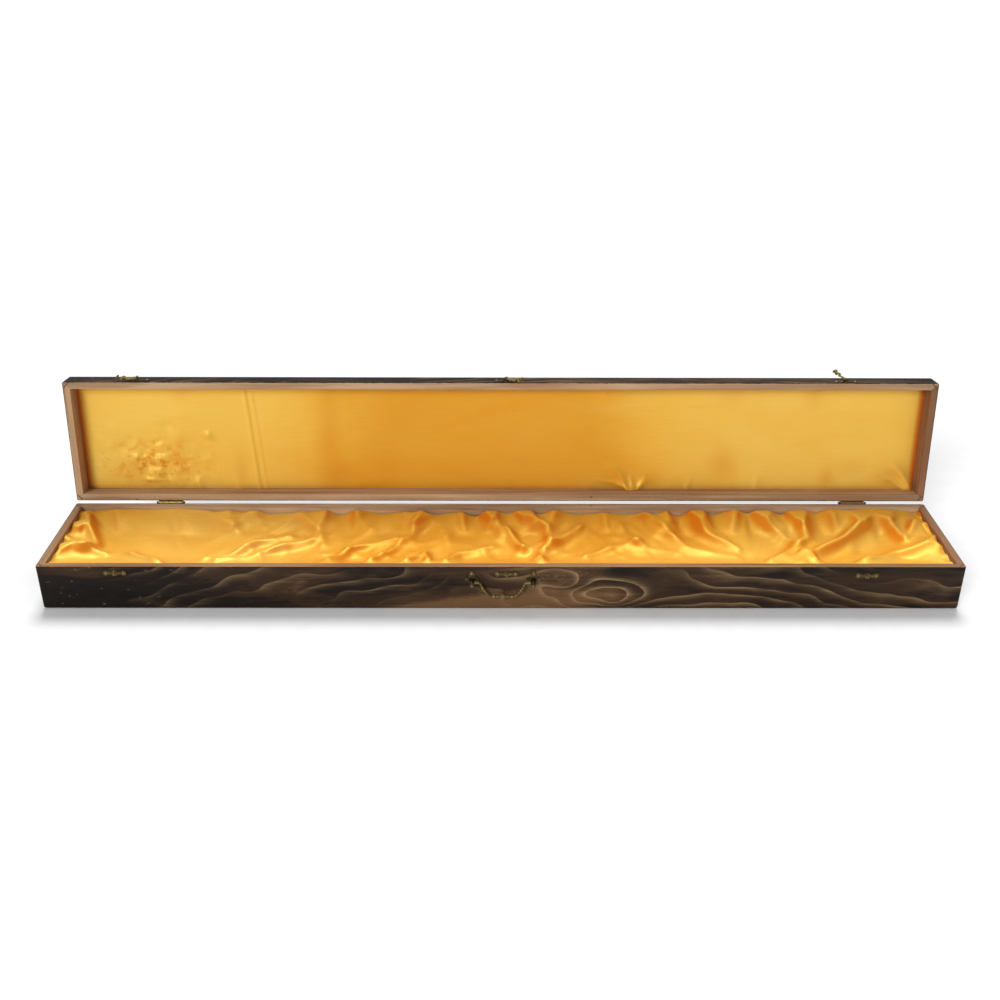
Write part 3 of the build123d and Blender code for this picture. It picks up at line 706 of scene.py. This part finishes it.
# Main folds: crest line in X and Y, height, width
FOLDS = (
    (
        ((0.470, 0.070), (0.468, 0.042), (0.438, 0.009), (0.403, -0.016), (0.364, -0.050)),
        0.014,
        0.011,
    ),
    (
        ((0.384, 0.070), (0.392, 0.035), (0.390, 0.009), (0.360, -0.025), (0.333, -0.053)),
        0.012,
        0.011,
    ),
    (((0.503, 0.070), (0.508, 0.029), (0.512, 0.003), (0.538, 0.042)), 0.012, 0.010),
    (((0.447, -0.052), (0.492, -0.025), (0.525, -0.019), (0.548, -0.010)), 0.010, 0.011),
    (((0.330, 0.070), (0.345, 0.050), (0.358, 0.030), (0.372, 0.000)), 0.009, 0.010),
    (((0.368, -0.047), (0.376, -0.025), (0.385, -0.052)), 0.008, 0.006),
    (((0.255, 0.070), (0.262, 0.030), (0.300, -0.010)), 0.009, 0.010),
    (((0.190, 0.068), (0.215, 0.030), (0.232, -0.005), (0.290, -0.030)), 0.009, 0.011),
    (((-0.020, 0.070), (-0.005, 0.050), (0.000, 0.020)), 0.008, 0.010),
    (((0.029, 0.070), (0.060, 0.035), (0.061, 0.002)), 0.010, 0.009),
    (((0.008, 0.034), (0.026, -0.010)), 0.008, 0.006),
    (((-0.117, 0.015), (-0.112, 0.045), (-0.105, 0.066)), 0.007, 0.008),
    (((-0.070, -0.053), (-0.055, -0.023), (-0.011, -0.004)), 0.008, 0.008),
    (((0.044, -0.053), (0.053, -0.017), (0.102, 0.041)), 0.009, 0.008),
    (((-0.116, -0.053), (-0.096, -0.023), (-0.091, -0.053)), 0.008, 0.006),
    (((0.103, -0.035), (0.140, -0.007), (0.176, 0.009)), 0.008, 0.009),
    (((-0.160, -0.050), (-0.140, -0.020), (-0.125, 0.010)), 0.008, 0.007),
    (((-0.215, -0.050), (-0.190, -0.010), (-0.135, 0.012)), 0.008, 0.007),
    (((-0.260, 0.060), (-0.235, 0.030), (-0.225, 0.000)), 0.007, 0.009),
    (((-0.365, -0.048), (-0.338, -0.029), (-0.312, 0.002), (-0.270, 0.020)), 0.010, 0.007),
    (((-0.350, -0.054), (-0.310, -0.035), (-0.275, -0.005), (-0.240, 0.010)), 0.009, 0.006),
    (((-0.463, -0.024), (-0.437, -0.042), (-0.420, -0.059)), 0.009, 0.007),
    (((-0.552, -0.036), (-0.533, -0.018), (-0.494, -0.024)), 0.010, 0.008),
    (((-0.544, 0.027), (-0.530, 0.033), (-0.508, -0.006), (-0.525, -0.024)), 0.010, 0.006),
    (((-0.540, 0.060), (-0.532, 0.040), (-0.540, 0.022)), 0.010, 0.007),
    (((-0.391, 0.066), (-0.362, 0.050), (-0.330, 0.020)), 0.006, 0.012),
)


def wave_sum(x, rng, count, low, high):
    """Smooth one-dimensional wandering line between -1 and 1."""
    total = np.zeros_like(x)
    for _ in range(count):
        turns = rng.uniform(low, high)
        total += rng.uniform(0.4, 1.0) * np.sin(2 * math.pi * (turns * x + rng.uniform()))
    return total / np.abs(total).max()


def pulled_folds(x, y, rng, count):
    """Diagonal folds with sharp crests and round valleys, gathered in patches."""
    total = np.zeros_like(x)
    for _ in range(count):
        slant = rng.choice((-1, 1)) * math.radians(rng.uniform(25, 60))
        across = x * math.sin(slant) + y * math.cos(slant)
        along = x * math.cos(slant) - y * math.sin(slant)
        warp = 0.22 * np.sin(along * rng.uniform(30, 60) + rng.uniform(0, 6))
        turn = across / rng.uniform(0.034, 0.060) + warp + rng.uniform(0, 1)
        crest = (1 - np.abs(np.sin(math.pi * turn))) ** 1.6
        centre = rng.uniform(-0.38, 0.20), rng.uniform(-0.06, 0.06)
        reach = rng.uniform(0.03, 0.07)
        patch = np.exp(-(((x - centre[0]) / reach) ** 2) - ((y - centre[1]) / 0.05) ** 2)
        total += crest * patch * rng.uniform(0.6, 1.0)
    return total


def lining_start(rng):
    """Gathered start shape, its cut pattern and which points are held."""
    xs = np.linspace(INNER_X[0] + LINING_GAP, INNER_X[1] - LINING_GAP, LINING_COLUMNS)
    ys = np.linspace(INNER_Y[0] + LINING_GAP, INNER_Y[1] - LINING_GAP, LINING_ROWS)
    x, y = (a.ravel() for a in np.meshgrid(xs, ys, indexing="ij"))
    middle = (INNER_Y[0] + INNER_Y[1]) / 2
    side = np.abs(y - middle) / (ys[-1] - middle)
    end = 1 - np.minimum(x - INNER_X[0], INNER_X[1] - x) / 0.07
    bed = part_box("base_wadding")[1].z + WADDING_CROWN + BED_CLEARANCE
    ripple = wave_sum(x, rng, 7, 11, 26)
    end_ripple = wave_sum(y, rng, 4, 25, 60)
    edge = RIM - LINING_DROP + 0.0012 * ripple + 0.003 * end_ripple * (end > 0.9)
    drop = np.interp(x, *zip(*SCALLOPS))
    edge = np.where((y > middle) & (end < 0.98), RIM - drop, edge)
    rise = np.maximum(smoothstep(side, 0.35, 1.0), smoothstep(end, 0.1, 1.0))
    z = bed + LINING_LOFT + (edge - bed - LINING_LOFT) * rise
    for line, height, width in FOLDS:
        fade = FOLD_FADE if abs(line[-1][1]) < FOLD_END else 0.0
        z = z + FOLD_RISE * height * ridge(x, y, line, width, fade)
    for (ax, ad), (bx, bd), (cx, cd) in zip(SCALLOPS, SCALLOPS[1:], SCALLOPS[2:]):
        if bd < ad and bd < cd:
            lean = rng.uniform(-0.012, 0.020)
            z = z + SCALLOP_RISE * ridge(x, y, ((bx, 0.071), (bx + lean, 0.040)), 0.009)
    z = z + PULLED_RISE * pulled_folds(x, y, rng, PULLED_FOLDS)
    z += 0.002 * wave_sum(x + 0.8 * y, rng, 5, 5, 12) * (1 - rise)
    z = np.minimum(z, RIM - 0.001 + 0.006 * (1 - side))
    held = (side > 0.99) | (np.abs(x) > xs[-1] - 0.0005)
    z[held] = np.minimum(edge, RIM - 0.0015)[held]
    start = np.stack([x, y, z], 1)
    cut = start * (LINING_SLACK[0], LINING_SLACK[1], 1.0)
    cut[:, 2] = bed + (z - bed) * LINING_SLACK[2]
    return start, cut, held


def simulate(piece, held, cut, bed):
    """Let gathered cloth settle on its bed, then blend it with the shape it started from."""
    start = coordinates(piece)
    group = piece.vertex_groups.new(name="held")
    group.add([int(i) for i in np.nonzero(held)[0]], 1.0, "REPLACE")
    piece.shape_key_add(name="Basis")
    key = piece.shape_key_add(name="cut")
    key.data.foreach_set("co", cut.ravel())
    key.value = 0.0
    bed.modifiers.new("bed", "COLLISION")
    bed.collision.thickness_outer = 0.002
    cloth = piece.modifiers.new("cloth", "CLOTH")
    settings = cloth.settings
    settings.quality = 7
    settings.mass = 0.12
    settings.tension_stiffness = 20
    settings.compression_stiffness = 20
    settings.shear_stiffness = 8
    settings.bending_stiffness = 6.0
    settings.air_damping = 4.0
    settings.vertex_group_mass = "held"
    settings.rest_shape_key = key
    settings.effector_weights.gravity = 0.6
    cloth.collision_settings.distance_min = 0.002
    cloth.collision_settings.use_self_collision = True
    cloth.collision_settings.self_distance_min = 0.0015
    cloth.collision_settings.collision_quality = 3
    cloth.point_cache.frame_start = 1
    cloth.point_cache.frame_end = SIM_FRAMES
    for step in range(1, SIM_FRAMES + 1):
        bpy.context.scene.frame_set(step)
    bake_modifiers(piece)
    bpy.context.scene.frame_set(1)
    bed.modifiers.clear()
    settled = START_SHARE * start + (1 - START_SHARE) * coordinates(piece)
    piece.data.vertices.foreach_set("co", settled.ravel())
    piece.data.update()


def keep_inside(piece):
    """Keep the satin off the walls and under the rim at the walls."""
    points = coordinates(piece)
    gap = LINING_GAP * 0.8
    points[:, 0] = np.clip(points[:, 0], INNER_X[0] + gap, INNER_X[1] - gap)
    points[:, 1] = np.clip(points[:, 1], INNER_Y[0] + gap, INNER_Y[1] - gap)
    inward = np.minimum(INNER_X[1] - np.abs(points[:, 0]), INNER_Y[1] - np.abs(points[:, 1]))
    roof = RIM - 0.0012 + 0.10 * np.clip(inward, 0, 0.03)
    over = points[:, 2] > roof
    points[over, 2] = roof[over]
    piece.data.vertices.foreach_set("co", points.ravel())
    piece.data.update()


def base_lining(bed):
    """Loose gold satin lining of the base."""
    rng = np.random.default_rng(SEED)
    start, cut, held = lining_start(rng)
    mesh = grid_mesh("satin_lining", start, LINING_COLUMNS, LINING_ROWS)
    piece = add_object("satin_lining", mesh)
    simulate(piece, held, cut, bed)
    refine(piece, 1)
    keep_inside(piece)
    return piece


# ---------------------------------------------------------------- satin panel in the lid

PANEL_COLUMNS = 560
PANEL_ROWS = 90
PANEL_GAP = 0.0004
PANEL_PUFF = 0.0012
PANEL_DEEPEST = -0.0012
TUCK_RISE = 1.9

# Pressed crease across the lid satin: three parallel lines in X and Y shut
CREASE = ((-0.335, -0.071), (-0.331, -0.030), (-0.322, 0.071))
CREASE_WIDTH = 0.0018
CREASE_LINES = ((0.0, 0.0016), (0.0045, -0.0013), (0.0090, 0.0013))

# Patch of small random dimples: count, mean X and Y, spread in X and Y
DIMPLE_COUNT = 46
DIMPLE_PLACE = (-0.455, 0.030)
DIMPLE_SPREAD = (0.034, 0.018)
DIMPLE_REACH = (0.003, 0.008)
DIMPLE_DEPTH = (0.0007, 0.0019)

# Dimples in the lid satin: X, Y shut, reach, depth
DIMPLES = (
    (-0.485, 0.030, 0.010, 0.0014),
    (-0.468, 0.036, 0.007, -0.0012),
    (-0.452, 0.028, 0.009, 0.0013),
    (-0.440, 0.044, 0.008, -0.0013),
    (-0.428, 0.032, 0.007, 0.0012),
    (-0.420, 0.050, 0.010, -0.0011),
    (-0.460, 0.052, 0.009, 0.0011),
    (-0.445, 0.012, 0.010, 0.0009),
    (-0.500, 0.015, 0.009, -0.0010),
    (-0.510, -0.012, 0.008, 0.0009),
    (-0.405, 0.008, 0.010, -0.0009),
    (-0.385, -0.006, 0.006, 0.0010),
    (-0.375, 0.004, 0.007, -0.0010),
    (-0.395, -0.048, 0.010, 0.0008),
    (0.240, 0.050, 0.018, 0.0014),
    (0.330, 0.055, 0.020, 0.0013),
    (0.300, -0.055, 0.016, -0.0008),
    (0.500, 0.045, 0.014, 0.0014),
)

# Tucks and pulls in the lid satin: line in X and Y shut, depth, width
TUCKS = (
    (((0.168, 0.071), (0.158, 0.050), (0.138, 0.034)), 0.0030, 0.005),
    (((0.176, 0.071), (0.172, 0.048)), 0.0026, 0.004),
    (((0.182, 0.071), (0.196, 0.052)), 0.0026, 0.004),
    (((0.172, 0.071), (0.150, 0.062), (0.120, 0.056)), 0.0020, 0.004),
    (((0.248, 0.071), (0.252, 0.048)), 0.0012, 0.005),
    (((0.338, 0.071), (0.345, 0.042)), 0.0011, 0.006),
    (((0.546, 0.071), (0.534, 0.050), (0.512, 0.034)), 0.0036, 0.006),
    (((0.538, 0.071), (0.522, 0.058), (0.505, 0.054)), 0.0028, 0.004),
    (((0.545, 0.060), (0.520, 0.030), (0.470, 0.012)), 0.0010, 0.008),
    (((-0.400, 0.071), (-0.404, 0.052)), 0.0012, 0.004),
    (((-0.350, 0.071), (-0.356, 0.045)), 0.0010, 0.006),
    (((-0.470, 0.058), (-0.430, 0.060)), 0.0012, 0.003),
    (((-0.385, -0.003), (-0.368, 0.010)), 0.0012, 0.003),
    (((0.130, -0.071), (0.140, -0.045)), 0.0016, 0.010),
    (((-0.230, -0.071), (-0.222, 0.000), (-0.215, 0.071)), 0.0010, 0.020),
)


def lid_panel():
    """Stretched satin inside the lid with its creases, dimples and tucked edge."""
    low, high = shut_box("lid_satin_panel")
    rng = np.random.default_rng(SEED + 2)
    xs = np.linspace(low.x + PANEL_GAP - 0.0003, high.x - PANEL_GAP + 0.0003, PANEL_COLUMNS)
    ys = np.linspace(low.y, high.y, PANEL_ROWS)
    x, y = (a.ravel() for a in np.meshgrid(xs, ys, indexing="ij"))
    up = high.y - y
    height = 0.0009 * wave_sum(x, rng, 5, 1.5, 4.0)
    height += 0.0005 * wave_sum(x + 0.35 * y, rng, 5, 4.0, 11.0)
    for aside, rise in CREASE_LINES:
        line = [(a + aside, b) for a, b in CREASE]
        height += rise * ridge(x, y, line, CREASE_WIDTH)
    for _ in range(DIMPLE_COUNT):
        cx = rng.normal(DIMPLE_PLACE[0], DIMPLE_SPREAD[0])
        cy = rng.normal(DIMPLE_PLACE[1], DIMPLE_SPREAD[1])
        reach = rng.uniform(*DIMPLE_REACH)
        depth = rng.choice((-1, 1)) * rng.uniform(*DIMPLE_DEPTH)
        height += depth * np.exp(-(((x - cx) ** 2 + (y - cy) ** 2) / reach**2))
    for cx, cy, reach, depth in DIMPLES:
        height += depth * np.exp(-(((x - cx) / reach) ** 2 + ((y - cy) / (0.7 * reach)) ** 2))
    for line, depth, width in TUCKS:
        height += TUCK_RISE * depth * ridge(x, y, line, width, 1.0)
    small = 0.0005 * wave_sum(x, rng, 9, 25.0, 60.0)
    height += small * np.exp(-up / 0.010) + 0.6 * small * np.exp(-(y - low.y) / 0.008)
    edge = np.minimum.reduce([x - low.x, high.x - x, y - low.y, high.y - y])
    height -= 0.0012 * np.exp(-edge / 0.004)
    height = np.maximum(height, PANEL_DEEPEST) + PANEL_PUFF
    points = np.stack([x, y, low.z - height], 1)
    mesh = grid_mesh("satin_panel", points, PANEL_COLUMNS, PANEL_ROWS)
    mesh.transform(LID_OPEN)
    mesh.update()
    return add_object("satin_panel", mesh)


# ---------------------------------------------------------------- stage

FLOOR_REACH = 16
FLOOR_HEIGHT = -0.0002
SURROUND_LIGHT = 0.34
# Direction the light comes from, strength, angle it fills in degrees
TOP_SUN = ((0.05, 0.5, 1.0), 2.1, 26)
FRONT_SUN = ((-0.6, -1.0, 0.7), 1.43, 20)

def look_matrix():
    """Camera axes from pitch, yaw and roll."""
    ahead = Vector(
        (
            math.sin(CAMERA_YAW) * math.cos(CAMERA_PITCH),
            math.cos(CAMERA_YAW) * math.cos(CAMERA_PITCH),
            -math.sin(CAMERA_PITCH),
        )
    )
    right = ahead.cross(Vector((0, 0, 1))).normalized()
    up = right.cross(ahead)
    tilt_right = right * math.cos(CAMERA_ROLL) + up * math.sin(CAMERA_ROLL)
    tilt_up = up * math.cos(CAMERA_ROLL) - right * math.sin(CAMERA_ROLL)
    return Matrix((tilt_right, tilt_up, -ahead)).transposed().to_4x4()


def make_camera():
    """Camera of the main picture."""
    data = bpy.data.cameras.new("camera")
    data.lens = CAMERA_LENS
    data.sensor_width = CAMERA_SENSOR
    camera = bpy.data.objects.new("camera", data)
    camera.matrix_world = Matrix.Translation(CAMERA_PLACE) @ look_matrix()
    bpy.context.scene.collection.objects.link(camera)
    bpy.context.scene.camera = camera


def soft_sun(name, source, strength, softness):
    """Even, soft light arriving from a direction."""
    data = bpy.data.lights.new(name, "SUN")
    data.energy = strength
    data.angle = math.radians(softness)
    lamp = bpy.data.objects.new(name, data)
    lamp.matrix_world = (-Vector(source)).to_track_quat("-Z", "Y").to_matrix().to_4x4()
    bpy.context.scene.collection.objects.link(lamp)


def make_stage():
    """Pale floor, pale surround and soft studio light."""
    corners = ((-1, -1), (1, -1), (1, 1), (-1, 1))
    points = [(FLOOR_REACH * x, FLOOR_REACH * y, FLOOR_HEIGHT) for x, y in corners]
    mesh = bpy.data.meshes.new("floor")
    mesh.from_pydata(points, [], [(0, 1, 2, 3)])
    floor = add_object("floor", mesh)
    graph = Graph("floor_paper")
    grain = graph.noise(graph.object_point(), 40.0, 3.0)
    colour = graph.ramp(grain, [(0.3, (0.90, 0.90, 0.905, 1)), (0.7, (0.92, 0.92, 0.925, 1))])
    paint(floor, graph.surface(Base_Color=colour, Roughness=0.9, Specular_IOR_Level=0.1))
    world = bpy.data.worlds.new("surround")
    bpy.context.scene.world = world
    world.use_nodes = True
    world.node_tree.nodes["Background"].inputs[0].default_value = (1, 1, 1, 1)
    world.node_tree.nodes["Background"].inputs[1].default_value = SURROUND_LIGHT
    soft_sun("top", *TOP_SUN)
    soft_sun("front", *FRONT_SUN)
    bpy.context.scene.view_settings.view_transform = "Standard"


# ---------------------------------------------------------------- build

make_camera()
make_stage()
dress_wood()
dress_metal()

bed = wadding_pad("wadding_bed", "base_wadding", 81, 17, WADDING_CROWN)
paint(bed, wadding_material())
lining = base_lining(bed)
paint(lining, satin_material("gold_satin_base", False))
refine(bed, 1)
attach(bed, "base")
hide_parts("base_wadding")
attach(lining, "base")
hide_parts("base_satin_lining")

panel = lid_panel()
paint(panel, satin_material("gold_satin_lid", True))
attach(panel, "lid")
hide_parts("lid_satin_panel")

lid_pad = wadding_pad("lid_pad", "lid_wadding", 81, 17, 0.0)
lid_pad.data.transform(LID_OPEN)
paint(lid_pad, wadding_material())
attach(lid_pad, "lid")
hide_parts("lid_wadding")
